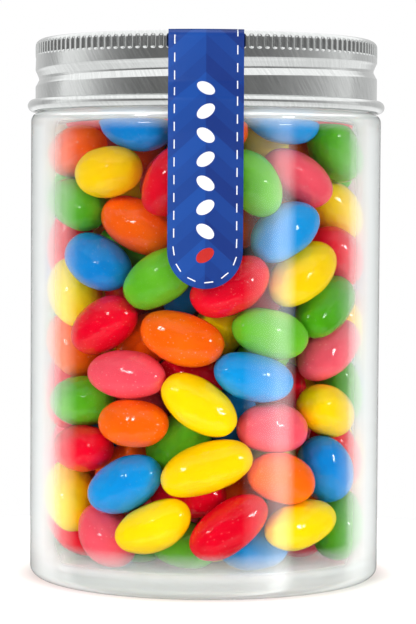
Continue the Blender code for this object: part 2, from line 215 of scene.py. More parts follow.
# Settling of the heap, as in the solids
SEED = 7
CONTACT_SHARE = 0.97
LEVER = 60.0
STEP = 0.45
ROUNDS = 700
RELEASE = 560
RELEASED_GRIP = 0.1
WALL_ROUNDS = 40
PAIRS_EVERY = 8
PAIR_MARGIN = 3
FRONT_HOLD = (0.4, 0.016, 0.4)
SECOND_HOLD = (0.1, 0.1, 0.1)
OTHER_HOLD = (0.015, 0.015, 0.015)


def arc(radius, height, size, start, end, count):
    """Points of an arc about (radius, height), from start to end in degrees above the outward direction."""
    angles = np.radians(np.linspace(start, end, count))
    return [(radius + size * cos(a), height + size * sin(a)) for a in angles]


def ring(bm, radius, height, sides):
    """A ring of points; radius is a number or a function of the angle from the front. 0 makes a pole."""
    if radius == 0:
        return [bm.verts.new((0, 0, height))]
    points = []
    for i in range(sides):
        angle = tau * i / sides
        reach = radius(angle) if callable(radius) else radius
        points.append(bm.verts.new((reach * sin(angle), -reach * cos(angle), height)))
    return points


def bridge(bm, one, two):
    """Faces between two rings, where the finer has a whole multiple of the coarser's points."""
    if len(one) > len(two):
        one, two = two, one
    ratio = len(two) // len(one)
    middle = ratio // 2
    for i, corner in enumerate(one):
        after = one[(i + 1) % len(one)]
        fine = [two[(i * ratio + j) % len(two)] for j in range(ratio + 1)]
        if len(one) == 1:
            for a, b in zip(fine, fine[1:]):
                bm.faces.new((corner, a, b))
        elif ratio == 1:
            bm.faces.new((corner, after, fine[1], fine[0]))
        else:
            for a, b in zip(fine[:middle], fine[1 : middle + 1]):
                bm.faces.new((corner, a, b))
            bm.faces.new((corner, fine[middle], after))
            for a, b in zip(fine[middle:-1], fine[middle + 1 :]):
                bm.faces.new((after, a, b))


def skin(bm, rings):
    """Faces over a row of rings."""
    for one, two in zip(rings, rings[1:]):
        bridge(bm, one, two)


def mesh_of(name, bm):
    """The mesh that a bmesh holds, which is then let go."""
    mesh = bpy.data.meshes.new(name)
    bm.to_mesh(mesh)
    bm.free()
    return mesh


def add_object(name, data):
    """An object with this data, in the scene."""
    made = bpy.data.objects.new(name, data)
    bpy.context.scene.collection.objects.link(made)
    return made


def as_piece(name, mesh, finish, sharp=40):
    """The object of a mesh in one finish, smooth but where its faces meet at more than the sharp angle."""
    mesh.shade_smooth()
    mesh.set_sharp_from_angle(angle=radians(sharp))
    mesh.materials.clear()
    mesh.materials.append(finish)
    return add_object(name, mesh)


def finished(name, bm, finish, sharp=40):
    """The object made from a bmesh in millimetres, in metres and with its faces outward."""
    bmesh.ops.recalc_face_normals(bm, faces=bm.faces)
    bmesh.ops.scale(bm, vec=(MM, MM, MM), verts=bm.verts)
    return as_piece(name, mesh_of(name, bm), finish, sharp)


def dress(piece, node):
    """The piece rides with the part and stands for a node of it, whose own mesh is hidden."""
    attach(piece, "root")
    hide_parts(node)


# Materials


def linear(code):
    """A colour in linear light from its sRGB hex code."""
    parts = [int(code[i : i + 2], 16) / 255 for i in (1, 3, 5)]
    return (*[c / 12.92 if c <= 0.04045 else ((c + 0.055) / 1.055) ** 2.4 for c in parts], 1.0)


def plug(made, links):
    """Gives a node's sockets their values and links; a node among them stands for its first output."""
    for socket, value in links.items():
        if isinstance(value, bpy.types.Node):
            value = value.outputs[0]
        if isinstance(value, bpy.types.NodeSocket):
            made.id_data.links.new(value, made.inputs[socket])
        else:
            made.inputs[socket].default_value = value


def node(tree, kind, links=None, **settings):
    """Adds a node; links name its sockets and settings its own properties."""
    made = tree.nodes.new(kind)
    for key, value in settings.items():
        setattr(made, key, value)
    plug(made, links or {})
    return made


def surface(name, **sockets):
    """A new material whose Principled shader has these values, as (material, tree, shader)."""
    made = bpy.data.materials.new(name)
    made.use_nodes = True
    shader = made.node_tree.nodes["Principled BSDF"]
    for key, value in sockets.items():
        shader.inputs[key.replace("_", " ")].default_value = value
    return made, made.node_tree, shader


def cells(size):
    """A pattern's scale, on coordinates in metres, for cells of this size in millimetres."""
    return 1 / (size * MM)


def graded(ramp, stops):
    """The colour ramp, once given grey stops of (place from 0 to 1, brightness)."""
    elements = ramp.color_ramp.elements
    elements.remove(elements[1])
    for i, (where, glow) in enumerate(stops):
        element = elements[0] if i == 0 else elements.new(where)
        element.position = where
        element.color = (glow, glow, glow, 1)
    return ramp


# Clearness of the jar's plastic by height in millimetres
FOOT_CLEARNESS = [(0, 0.45), (3.4, 0.45), (6.5, 0.76), (11.0, 1.0)]
SHOULDER_CLEARNESS = [(111.0, 1.0), (113.0, 0.86), (114.6, 0.4), (115.9, 0.4), (117.0, 1.0)]
# Clearness of a bent wall from face on, 0, to edge on, 1, as more plastic lies in the way
EDGE_CLEARNESS = [(0.42, 1.0), (0.52, 0.62), (0.62, 0.42), (1.0, 0.42)]


def clear_plastic():
    """Injection-moulded clear PET: water-clear, with a slow ripple from the mould. It looks milky where it
    is thickest, in the foot and in the shoulder, and where the wall is seen edge on."""
    made, tree, shader = surface(
        "clear_moulded_pet",
        Base_Color=linear("#F7FBFA"),
        Roughness=0.015,
        IOR=1.575,
        Transmission_Weight=1.0,
    )
    place = node(tree, "ShaderNodeTexCoord").outputs["Object"]
    ripple = node(tree, "ShaderNodeTexNoise", {"Vector": place, "Scale": cells(22.2), "Detail": 1.0})
    bump = node(tree, "ShaderNodeBump", {"Height": ripple, "Strength": 0.12, "Distance": 0.3 * MM})
    plug(shader, {"Normal": bump})
    height = node(tree, "ShaderNodeSeparateXYZ", {"Vector": place}).outputs["Z"]
    share = node(tree, "ShaderNodeMath", {0: height, 1: 1 / (RIM_TOP * MM)}, operation="MULTIPLY")
    stops = [(z / RIM_TOP, clearness) for z, clearness in FOOT_CLEARNESS + SHOULDER_CLEARNESS]
    clear = graded(node(tree, "ShaderNodeValToRGB", {"Fac": share}), stops)
    tint = node(
        tree,
        "ShaderNodeMix",
        {"Factor": clear, "A": linear("#CCD2D1"), "B": linear("#F7FBFA")},
        data_type="RGBA",
    )
    plug(shader, {"Base Color": tint.outputs["Result"]})
    edge_on = node(tree, "ShaderNodeLayerWeight", {"Blend": 0.5}).outputs["Facing"]
    face_on = graded(node(tree, "ShaderNodeValToRGB", {"Fac": edge_on}), EDGE_CLEARNESS)
    through = node(tree, "ShaderNodeMath", {0: clear, 1: face_on}, operation="MULTIPLY")
    plug(shader, {"Transmission Weight": through})
    return made


# Scratches for each millimetre across and along the brushing, coarser than the real ones so that they show
SCRATCHES = (2.4, 0.14, 1.0)
BRUSHING_SLANT = radians(-32)


def brushed_aluminium():
    """Brushed and lacquered sheet aluminium: soft grey reflections under fine slanting scratches."""
    made, tree, shader = surface(
        "brushed_aluminium",
        Base_Color=linear("#E2E4E3"),
        Metallic=1.0,
        Roughness=0.24,
    )
    place = node(tree, "ShaderNodeUVMap", uv_map="round_and_up")
    lean = node(tree, "ShaderNodeMapping", {"Vector": place, "Rotation": (0, 0, BRUSHING_SLANT)})
    stretch = node(tree, "ShaderNodeMapping", {"Vector": lean, "Scale": SCRATCHES})
    grain = node(
        tree,
        "ShaderNodeTexNoise",
        {"Vector": stretch, "Scale": 1.0, "Detail": 3.0, "Roughness": 0.6},
    )
    rough = node(
        tree,
        "ShaderNodeMapRange",
        {"Value": grain, "From Min": 0.3, "From Max": 0.7, "To Min": 0.15, "To Max": 0.22},
    )
    plug(shader, {"Roughness": rough.outputs["Result"]})
    tone = node(
        tree,
        "ShaderNodeMix",
        {"Factor": grain, "A": linear("#B2B4B3"), "B": linear("#DCDEDD")},
        data_type="RGBA",
    )
    plug(shader, {"Base Color": tone.outputs["Result"]})
    bump = node(tree, "ShaderNodeBump", {"Height": grain, "Strength": 0.3, "Distance": 0.04 * MM})
    plug(shader, {"Normal": bump})
    return made


def blue_film():
    """Printed polypropylene film: deep blue, tone on tone chevrons, satin lacquer."""
    made, tree, shader = surface("printed_polypropylene_film", Roughness=0.38, IOR=1.49)
    place = node(tree, "ShaderNodeUVMap", uv_map="flat_mm")
    split = node(tree, "ShaderNodeSeparateXYZ", {"Vector": place})
    across, along = split.outputs["X"], split.outputs["Y"]
    width = node(tree, "ShaderNodeMath", {0: across}, operation="ABSOLUTE")
    slant = node(tree, "ShaderNodeMath", {0: width, 1: CHEVRON_SLOPE, 2: along}, operation="MULTIPLY_ADD")
    share = node(tree, "ShaderNodeMath", {0: slant, 1: 1 / CHEVRON_PITCH}, operation="MULTIPLY")
    saw = node(tree, "ShaderNodeMath", {0: share}, operation="FRACT")
    bands = node(tree, "ShaderNodeMath", {0: saw, 1: 1 / CHEVRON_BANDS}, operation="SNAP")
    right = node(tree, "ShaderNodeMath", {0: across, 1: 0.0}, operation="GREATER_THAN")
    left_tone, right_tone, band_contrast = 0.62, 0.27, 0.5
    half = node(
        tree,
        "ShaderNodeMath",
        {0: right, 1: right_tone - left_tone, 2: left_tone},
        operation="MULTIPLY_ADD",
    )
    tone = node(tree, "ShaderNodeMath", {0: bands, 1: band_contrast, 2: half}, operation="MULTIPLY_ADD")
    ramp = node(tree, "ShaderNodeValToRGB", {"Fac": tone})
    ramp.color_ramp.elements[0].color = linear("#081E6A")
    ramp.color_ramp.elements[1].color = linear("#0C499F")
    plug(shader, {"Base Color": ramp})
    return made


def print_ink(name, code):
    """Screen-printed ink on the film: opaque, a little duller than the lacquer and faintly uneven."""
    made, tree, shader = surface(name, Roughness=0.5)
    place = node(tree, "ShaderNodeTexCoord").outputs["Object"]
    grain = node(tree, "ShaderNodeTexNoise", {"Vector": place, "Scale": cells(0.833), "Detail": 2.0})
    colour = linear(code)
    darker = tuple(c * 0.86 for c in colour[:3]) + (1.0,)
    mix = node(tree, "ShaderNodeMix", {"Factor": grain, "A": darker, "B": colour}, data_type="RGBA")
    plug(shader, {"Base Color": mix.outputs["Result"]})
    return made


def sugar_shell(name, deep, bright, speckle):
    """Panned sugar shell, polished with wax: glossy, gently dimpled, clouded in colour and flecked."""
    made, tree, shader = surface(name, Roughness=0.09, IOR=1.47)
    place = node(tree, "ShaderNodeTexCoord").outputs["Object"]
    shade = node(tree, "ShaderNodeAttribute", attribute_name="shade").outputs["Fac"]
    cloud = node(tree, "ShaderNodeTexNoise", {"Vector": place, "Scale": cells(8.33), "Detail": 2.0})
    clouded = node(tree, "ShaderNodeMath", {0: cloud, 1: 0.8, 2: shade}, operation="MULTIPLY_ADD")
    depth = node(
        tree,
        "ShaderNodeMath",
        {0: clouded, 1: 0.4},
        operation="SUBTRACT",
        use_clamp=True,
    )
    body = node(
        tree,
        "ShaderNodeMix",
        {"Factor": depth, "A": linear(deep), "B": linear(bright)},
        data_type="RGBA",
    ).outputs["Result"]
    spots = node(tree, "ShaderNodeTexVoronoi", {"Vector": place, "Scale": cells(1.11)})
    fleck = node(
        tree,
        "ShaderNodeMapRange",
        {"Value": spots, "From Min": 0.05, "From Max": 0.2, "To Min": speckle, "To Max": 0.0},
    ).outputs["Result"]
    colour = node(
        tree,
        "ShaderNodeMix",
        {"Factor": fleck, "A": body, "B": linear("#FFE9DC")},
        data_type="RGBA",
    ).outputs["Result"]
    plug(shader, {"Base Color": colour})
    dimples = node(tree, "ShaderNodeTexNoise", {"Vector": place, "Scale": cells(1.11), "Detail": 1.0})
    waves = node(tree, "ShaderNodeTexNoise", {"Vector": place, "Scale": cells(2.38), "Detail": 0.0})
    relief = node(tree, "ShaderNodeMath", {0: waves, 1: 3.0, 2: dimples}, operation="MULTIPLY_ADD")
    bump = node(tree, "ShaderNodeBump", {"Height": relief, "Strength": 1.0, "Distance": 0.07 * MM})
    plug(shader, {"Normal": bump})
    return made


def core_in_painted_shade():
    """Mass in the middle of the heap, in dark browns as painted shade, seen only as darkness between the
    sweets.
    """
    made, tree, shader = surface("sugar_mass_in_painted_shade", Roughness=0.7)
    place = node(tree, "ShaderNodeTexCoord").outputs["Object"]
    patches = node(tree, "ShaderNodeTexNoise", {"Vector": place, "Scale": cells(11.1), "Detail": 1.0})
    # dark browns: painted shade standing for the hidden sweets deep in the heap
    mix = node(
        tree,
        "ShaderNodeMix",
        {"Factor": patches, "A": linear("#5A1408"), "B": linear("#7A3A0A")},
        data_type="RGBA",
    )
    plug(shader, {"Base Color": mix.outputs["Result"]})
    return made


# Jar


def make_jar():
    """Thick clear jar with a rounded heel and shoulder, open at the top, with its neck inside the lid."""
    shoulder_height = SHOULDER_TOP - SHOULDER_ROUND
    floor_height = FLOOR_TOP + FLOOR_ROUND
    profile = [(0, 0)]
    profile += [(radius, 0) for radius in FOOT_RINGS]
    profile += arc(JAR_RADIUS - HEEL_ROUND, HEEL_ROUND, HEEL_ROUND, -90, 0, 12)
    profile += [(JAR_RADIUS, height) for height in np.linspace(WALL_LOW, WALL_HIGH, WALL_RINGS)]
    profile += arc(JAR_RADIUS - SHOULDER_ROUND, shoulder_height, SHOULDER_ROUND, 0, 90, 12)
    profile += [(NECK_RADIUS + 0.1, SHOULDER_TOP), (NECK_RADIUS, SHOULDER_TOP + 0.1)]
    profile += arc(NECK_RADIUS - RIM_ROUND, RIM_TOP - RIM_ROUND, RIM_ROUND, 0, 90, 5)
    profile += arc(NECK_BORE_RADIUS + RIM_ROUND, RIM_TOP - RIM_ROUND, RIM_ROUND, 90, 180, 5)
    profile += arc(NECK_BORE_RADIUS, BORE_SHOULDER_FROM, BORE_RADIUS - NECK_BORE_RADIUS, 90, 0, 12)
    profile += [(BORE_RADIUS, height) for height in np.linspace(WALL_HIGH, WALL_LOW, WALL_RINGS)]
    profile += arc(BORE_RADIUS - FLOOR_ROUND, floor_height, FLOOR_ROUND, 0, -90, 12)
    profile += [(radius, FLOOR_TOP) for radius in FLOOR_RINGS]
    profile += [(0, FLOOR_TOP)]
    bm = bmesh.new()
    skin(bm, [ring(bm, radius, height, JAR_SIDES) for radius, height in profile])
    jar = finished("jar_wall", bm, clear_plastic())
    jar.visible_shadow = jar.visible_diffuse = False  # clear plastic lets the light through to the sweets
    dress(jar, "jar")
    return jar


def bore_radius(height):
    """Radius of the jar's inside at a height."""
    share = np.clip((height - BORE_SHOULDER_FROM) / (BORE_SHOULDER_TO - BORE_SHOULDER_FROM), 0, 1)
    return NECK_BORE_RADIUS + (BORE_RADIUS - NECK_BORE_RADIUS) * np.sqrt(1 - share**2)


# Lid


def smooth(share):
    """An even rise from 0 to 1 that starts and ends softly."""
    share = min(max(share, 0.0), 1.0)
    return share * share * (3 - 2 * share)


def groove_depth(angle, height):
    """Depth of the thread groove at an angle from the front, summed over the helix's turns."""
    depth = 0.0
    for turn in (-1, 0, 1):
        along = angle + tau * turn
        fade = smooth((along - GROOVE_START) / GROOVE_FADE) * smooth((GROOVE_END - along) / GROOVE_FADE)
        offset = height - GROOVE_HEIGHT - GROOVE_PITCH * along / tau
        reach = GROOVE_ABOVE if offset > 0 else GROOVE_BELOW
        away = min(max(abs(offset) - GROOVE_FLAT, 0) / reach, 1)
        shape = (1 - away) ** GROOVE_BEND * smooth(GROOVE_LIP - GROOVE_LIP * away)
        depth += GROOVE_DEPTH * fade * shape
    return depth


def flute_depth(angle, height):
    """Depth of the knurl's flutes: scoops with rounded ends between flat-topped teeth."""
    across = (angle / tau * TEETH % 1 - 0.5) / FLUTE_HALF_SHARE
    past = max(FLUTE_FOOT - height, height - FLUTE_HEAD, 0.0) / FLUTE_END_ROUND
    return KNURL_DEPTH * smooth(FLUTE_STEEPNESS * (1 - sqrt(across**2 + past**2)))


def make_lid():
    """Pressed aluminium screw lid: knurled edge, helical thread groove and a rolled bead at the foot."""
    bm = bmesh.new()
    edge = arc(LID_RADIUS - LID_EDGE_ROUND, LID_TOP - LID_EDGE_ROUND, LID_EDGE_ROUND, 90, 0, 15)
    rings = [ring(bm, 0, LID_TOP, 1)]
    rings += [ring(bm, radius, LID_TOP, LID_SIDES) for radius in LID_TOP_RINGS]

    def fluted(radius, height):
        return lambda angle: radius - flute_depth(angle, height)

    def grooved(height):
        return lambda angle: LID_RADIUS - groove_depth(angle, height)

    for radius, height in edge:
        knurled = height < FLUTE_HEAD + FLUTE_END_ROUND
        sides = TEETH * TOOTH_POINTS if knurled else LID_SIDES
        rings.append(ring(bm, fluted(radius, height), height, sides))
    for height in FLUTE_RINGS:
        rings.append(ring(bm, fluted(LID_RADIUS, height), height, TEETH * TOOTH_POINTS))
    for height in np.linspace(SKIRT_HIGH, SKIRT_LOW, SKIRT_RINGS):
        rings.append(ring(bm, grooved(height), height, LID_SIDES))
    inside = [
        (LID_BORE_RADIUS, BEAD_CENTRE_HEIGHT),
        (LID_BORE_RADIUS, LID_CEILING),
        (0, LID_CEILING),
    ]
    bead = arc(BEAD_CENTRE_RADIUS, BEAD_CENTRE_HEIGHT, BEAD_RADIUS, BEAD_FROM, BEAD_TO, 24)
    rings += [ring(bm, radius, height, LID_SIDES) for radius, height in bead + inside]
    skin(bm, rings)
    lid = finished("lid_shell", bm, brushed_aluminium(), sharp=50)
    unwrap_round(lid.data, LID_RADIUS)
    dress(lid, "lid")
    return lid


def unwrap_round(mesh, radius):
    """UV map in millimetres: the way round, and the height or the distance in from the edge."""
    layer = mesh.uv_layers.new(name="round_and_up")
    for face in mesh.polygons:
        middle = atan2(face.center.x, -face.center.y)
        for loop in face.loop_indices:
            point = mesh.vertices[mesh.loops[loop].vertex_index].co / MM
            angle = atan2(point.x, -point.y)
            angle += tau * round((middle - angle) / tau)
            out = sqrt(point.x**2 + point.y**2)
            layer.data[loop].uv = (angle * radius, point.z - max(radius - 3 - out, 0))


# Seal strip


def strip_run():
    """Half the strip's path, from the middle of the lid's top to its tip: distances, points, normals."""
    rest = STRIP_REST
    points = [(0, LID_TOP + rest)]
    points += arc(LID_RADIUS - LID_EDGE_ROUND, LID_TOP - LID_EDGE_ROUND, LID_EDGE_ROUND + rest, 90, 0, 10)
    points += [(LID_RADIUS + rest, BEAD_CENTRE_HEIGHT + STRIP_OFF_LID)]
    points += arc(BEAD_CENTRE_RADIUS, BEAD_CENTRE_HEIGHT, BEAD_RADIUS + rest, 35, -5, 6)
    points += [(JAR_RADIUS + rest, STRIP_ON_JAR), (JAR_RADIUS + rest, STRIP_TIP)]
    points = np.array(points)
    fine = [points[0]]
    for one, two in zip(points, points[1:]):
        pieces = max(1, int(np.linalg.norm(two - one) / STRIP_STEP))
        fine += [one + (two - one) * i / pieces for i in range(1, pieces + 1)]
    fine = np.array(fine)
    slope = np.gradient(fine, axis=0)
    slope /= np.linalg.norm(slope, axis=1)[:, None]
    normal = np.stack([-slope[:, 1], slope[:, 0]], axis=1)
    normal[0] = (0, 1)
    far = np.concatenate([[0], np.cumsum(np.linalg.norm(np.diff(fine, axis=0), axis=1))])
    return far, fine, normal


STRIP_FAR, STRIP_LINE, STRIP_NORMAL = strip_run()
STRIP_REACH = float(STRIP_FAR[-1])


def on_strip(x, along, lift):
    """A point of the flat strip laid over the lid; along runs from the lid's middle, front negative."""
    far = min(abs(along), STRIP_REACH)
    radius, height = (np.interp(far, STRIP_FAR, STRIP_LINE[:, i]) for i in (0, 1))
    out, up = (np.interp(far, STRIP_FAR, STRIP_NORMAL[:, i]) for i in (0, 1))
    radius, height = radius + out * lift, height + up * lift
    bend = max(radius, LID_RADIUS - LID_EDGE_ROUND)
    y = sqrt(bend**2 - x**2) * radius / bend
    return Vector((x, y if along > 0 else -y, height))


def strip_half_width(far):
    """Half the strip's width at a distance from the lid's middle, with its round end."""
    into_end = far - (STRIP_REACH - STRIP_HALF_WIDTH)
    return sqrt(max(STRIP_HALF_WIDTH**2 - max(into_end, 0) ** 2, 0.25))


def make_strip(finish):
    """The film itself, one closed thin sheet with a UV map of its flat form in millimetres."""
    straight = STRIP_REACH - STRIP_HALF_WIDTH
    half = list(np.linspace(0, straight, 180)) + [
        straight + STRIP_HALF_WIDTH * sin(a) for a in np.linspace(0, pi / 2, 25)[1:]
    ]
    rows = [-far for far in reversed(half)] + half[1:]
    across = np.linspace(-1, 1, 17)
    bm = bmesh.new()
    flat = bm.loops.layers.uv.new("flat_mm")
    place = {}

    def sheet(lift):
        made = []
        for along in rows:
            width = strip_half_width(abs(along))
            line = []
            for share in across:
                vert = bm.verts.new(on_strip(share * width, along, lift))
                place[vert] = (share * width, along)
                line.append(vert)
            made.append(line)
        return made

    under, top = sheet(0), sheet(STRIP_THICKNESS)
    for sheet_rows in (under, top):
        for one, two in zip(sheet_rows, sheet_rows[1:]):
            for a, b, c, d in zip(one, one[1:], two[1:], two):
                bm.faces.new((a, b, c, d))
    for column in (0, -1):
        for i in range(len(rows) - 1):
            bm.faces.new((under[i][column], under[i + 1][column], top[i + 1][column], top[i][column]))
    for end in (0, -1):
        for j in range(len(across) - 1):
            bm.faces.new((under[end][j], under[end][j + 1], top[end][j + 1], top[end][j]))
    for face in bm.faces:
        for loop in face.loops:
            loop[flat].uv = place[loop.vert]
    strip = finished("seal_strip_film", bm, finish)
    dress(strip, "seal_strip")
    return strip


def lay_on_strip(name, mesh, finish):
    """Bends flat print, drawn in millimetres as (across, along, lift), onto the strip as a piece."""
    for vert in mesh.vertices:
        across, along, lift = vert.co
        vert.co = on_strip(across, along, STRIP_THICKNESS + lift) * MM
    made = as_piece(name, mesh, finish)
    dress(made, "seal_strip")
    return made


def tree_with(name, inputs):
    """A new geometry tree with these named inputs besides its geometry, as (tree, inputs, outputs)."""
    tree = bpy.data.node_groups.new(name, "GeometryNodeTree")
    tree.interface.new_socket("Geometry", in_out="INPUT", socket_type="NodeSocketGeometry")
    for label, kind in inputs.items():
        tree.interface.new_socket(label, in_out="INPUT", socket_type=kind)
    tree.interface.new_socket("Geometry", in_out="OUTPUT", socket_type="NodeSocketGeometry")
    return tree, tree.nodes.new("NodeGroupInput"), tree.nodes.new("NodeGroupOutput")


def grown(source, tree, values):
    """The plain mesh that a tree makes from a source mesh, with the tree's inputs set by name."""
    holder = add_object("holder", source)
    modifier = holder.modifiers.new("grow", "NODES")
    modifier.node_group = tree
    for item in tree.interface.items_tree:
        if item.in_out == "INPUT" and item.name in values:
            modifier[item.identifier] = values[item.name]
    made = bpy.data.meshes.new_from_object(holder.evaluated_get(bpy.context.evaluated_depsgraph_get()))
    bpy.data.objects.remove(holder, do_unlink=True)
    return made


def stitch_tree():
    """Dashes of one size, evenly spaced along a closed line and turned to follow it."""
    floats = ("Pitch", "Dash Length", "Dash Width", "Dash Thickness")
    inputs = {label: "NodeSocketFloat" for label in floats} | {"Material": "NodeSocketMaterial"}
    tree, start, end = tree_with("printed_stitches", inputs)
    given = start.outputs
    line = node(tree, "GeometryNodeMeshToCurve", {"Mesh": given["Geometry"]})
    spaced = node(
        tree,
        "GeometryNodeResampleCurve",
        {"Curve": line, "Length": given["Pitch"]},
        mode="LENGTH",
    )
    size = node(
        tree,
        "ShaderNodeCombineXYZ",
        {"X": given["Dash Length"], "Y": given["Dash Width"], "Z": given["Dash Thickness"]},
    )
    dash = node(tree, "GeometryNodeMeshCube", {"Size": size, "Vertices X": 6})
    turn = node(
        tree,
        "FunctionNodeAlignRotationToVector",
        {"Vector": node(tree, "GeometryNodeInputTangent")},
        axis="X",
    )
    placed = node(
        tree,
        "GeometryNodeInstanceOnPoints",
        {
            "Points": spaced,
            "Instance": dash,
            "Rotation": turn,
        },
    )
    real = node(tree, "GeometryNodeRealizeInstances", {"Geometry": placed})
    coated = node(tree, "GeometryNodeSetMaterial", {"Geometry": real, "Material": given["Material"]})
    plug(end, {"Geometry": coated})
    return tree


def make_stitches(finish):
    """The white dashed line printed round the strip like a seam."""
    side = STRIP_HALF_WIDTH - STITCH_INSET
    straight = STRIP_REACH - STRIP_HALF_WIDTH
    outline = [(side * cos(a), straight + side * sin(a)) for a in np.linspace(0, pi, 41)]
    outline += [(-x, -y) for x, y in outline]
    mesh = bpy.data.meshes.new("stitch_line")
    count = len(outline)
    mesh.from_pydata([(x, y, 0) for x, y in outline], [(i, (i + 1) % count) for i in range(count)], [])
    length, width = STITCH_SIZE
    values = {
        "Pitch": STITCH_PITCH,
        "Dash Length": length,
        "Dash Width": width,
        "Dash Thickness": PRINT_THICKNESS,
        "Material": finish,
    }
    return lay_on_strip("seal_strip_stitches", grown(mesh, stitch_tree(), values), finish)


def flat_oval(bm, along, length, width, turn):
    """A thin oval of print on the strip's middle line, drawn flat in rings fine enough to bend."""
    tilt = radians(turn)
    edges = []
    for lift in (-PRINT_THICKNESS / 2, PRINT_THICKNESS / 2):
        rings = [[bm.verts.new((0, along, lift))]]
        for share in (0.35, 0.7, 1.0):
            points = []
            for a in np.linspace(0, tau, 24, endpoint=False):
                u, v = share * length / 2 * cos(a), share * width / 2 * sin(a)
                across, up = u * cos(tilt) - v * sin(tilt), u * sin(tilt) + v * cos(tilt)
                points.append(bm.verts.new((across, along + up, lift)))
            rings.append(points)
        skin(bm, rings)
        edges.append(rings[-1])
    bridge(bm, *edges)


def make_motif():
    """A plain column of tilted sweet-shaped ovals down the front of the strip, the last one red."""
    for name, code, members in (
        ("ovals_white", "#F2F4FA", range(7)),
        ("oval_red", "#C81E14", (7,)),
    ):
        bm = bmesh.new()
        for i in members:
            flat_oval(bm, -(FIRST_OVAL + OVAL_PITCH * i), *OVAL_SIZE, OVAL_TURNS[i % 2])
        bmesh.ops.recalc_face_normals(bm, faces=bm.faces)
        lay_on_strip("seal_strip_" + name, mesh_of(name, bm), print_ink("printed_" + name, code))


# Sweets


def wall_pose(x, height, tilt, reach):
    """Centre and long axis of a sweet that lies along the front wall at a radius."""
    x = float(np.clip(x, -0.985 * reach, 0.985 * reach))
    y = -sqrt(reach**2 - x**2)
    lean = min(max(-x / y, -1.0), 1.0)
    slope = radians(tilt)
    axis = np.array([cos(slope), lean * cos(slope), sin(slope)])
    return np.array([x, y, height]), axis / np.linalg.norm(axis)


def most_open(rng, taken, draw, tries=60):
    """Of several drawn points, the one that lies farthest from those taken."""
    points = np.array([draw(rng) for _ in range(tries)])
    nearest = np.linalg.norm(points[:, None] - np.array(taken)[None], axis=2).min(axis=1)
    return points[nearest.argmax()]


def draw_back(rng):
    """A point of the outer layer, round the sides and the back."""
    angle = rng.uniform(FRONT_HALF_ANGLE, tau - FRONT_HALF_ANGLE)
    reach = BORE_RADIUS - BEAN_CLEARANCE - BEAN_WIDTH / 2
    return (reach * sin(angle), -reach * cos(angle), rng.uniform(*BACK_HEIGHTS))


def draw_inner(rng):
    """A point inside the outer layer, clear of the middle of the heap."""
    while True:
        angle = rng.uniform(0, tau)
        reach = INNER_RADIUS * sqrt(rng.uniform(0, 1))
        height = rng.uniform(*INNER_HEIGHTS)
        off = np.hypot(reach, height - np.clip(height, MIDDLE_FROM, MIDDLE_TO))
        if off > MIDDLE_RADIUS + BEAN_WIDTH / 3:
            return (reach * sin(angle), -reach * cos(angle), height)


def first_places(rng):
    """Centres, axes, lengths and widths of all sweets before they settle."""
    centres, axes, lengths, widths = [], [], [], []
    for _, x, height, tilt, length, inward in FRONT_BEANS + SECOND_BEANS:
        width = BEAN_WIDTH * rng.uniform(*WIDTH_SPREAD)
        reach = BORE_RADIUS - BEAN_CLEARANCE - width / 2 - inward
        centre, axis = wall_pose(x, height, tilt, reach)
        centres.append(centre)
        axes.append(axis)
        lengths.append(length)
        widths.append(width)
    for draw, count in ((draw_back, BACK_BEANS), (draw_inner, INNER_BEANS)):
        for _ in range(count):
            point = most_open(rng, centres, draw)
            angle = atan2(point[0], -point[1])
            turn = rng.uniform(-pi / 2, pi / 2)
            centres.append(point)
            axes.append(np.array([cos(turn) * cos(angle), cos(turn) * sin(angle), sin(turn)]))
            lengths.append(BEAN_LENGTH * rng.uniform(*LENGTH_SPREAD))
            widths.append(BEAN_WIDTH * rng.uniform(*WIDTH_SPREAD))
    return tuple(np.array(values) for values in (centres, axes, lengths, widths))


def push_apart(centre, axis, half, radius, pairs):
    """Shift and turn that part overlapping sweets, taken as capsules."""
    i, j = pairs
    between = centre[i] - centre[j]
    cross = np.einsum("ij,ij->i", axis[i], axis[j])
    along_i = np.einsum("ij,ij->i", axis[i], between)
    along_j = np.einsum("ij,ij->i", axis[j], between)
    s = np.clip((cross * along_j - along_i) / np.maximum(1 - cross**2, 1e-3), -half[i], half[i])
    t = np.clip(cross * s + along_j, -half[j], half[j])
    s = np.clip(cross * t - along_i, -half[i], half[i])
    apart = between + s[:, None] * axis[i] - t[:, None] * axis[j]
    distance = np.maximum(np.linalg.norm(apart, axis=1), 1e-6)
    overlap = np.maximum(radius[i] + radius[j] - distance, 0)
    way = apart * (overlap / distance / 2)[:, None]
    shift, turn = np.zeros_like(centre), np.zeros_like(axis)
    np.add.at(shift, i, way)
    np.add.at(shift, j, -way)
    np.add.at(turn, i, way * (s / LEVER)[:, None])
    np.add.at(turn, j, -way * (t / LEVER)[:, None])
    return shift, turn


def push_inside(centre, axis, half, radius):
    """Shift and turn that bring sweets back from the wall, the floor, the heap's top and its middle."""
    shift, turn = np.zeros_like(centre), np.zeros_like(axis)
    for side in (-1, 1):
        end = centre + side * half[:, None] * axis
        out = np.hypot(end[:, 0], end[:, 1])
        excess = np.maximum(out - bore_radius(end[:, 2] + radius * 0.8) + BEAN_CLEARANCE + radius, 0)
        way = -end * (excess / out)[:, None]
        way[:, 2] = np.maximum(FLOOR_TOP + BEAN_CLEARANCE + radius - end[:, 2], 0)
        way[:, 2] -= np.maximum(end[:, 2] + radius - HEAP_TOP, 0)
        shift += way
        turn += side * way * (half / LEVER)[:, None]
    from_middle = centre.copy()
    from_middle[:, 2] -= np.clip(centre[:, 2], MIDDLE_FROM, MIDDLE_TO)
    off = np.maximum(np.linalg.norm(from_middle, axis=1), 1e-6)
    shift += from_middle * (np.maximum(MIDDLE_RADIUS + radius - off, 0) / off)[:, None]
    return shift, turn


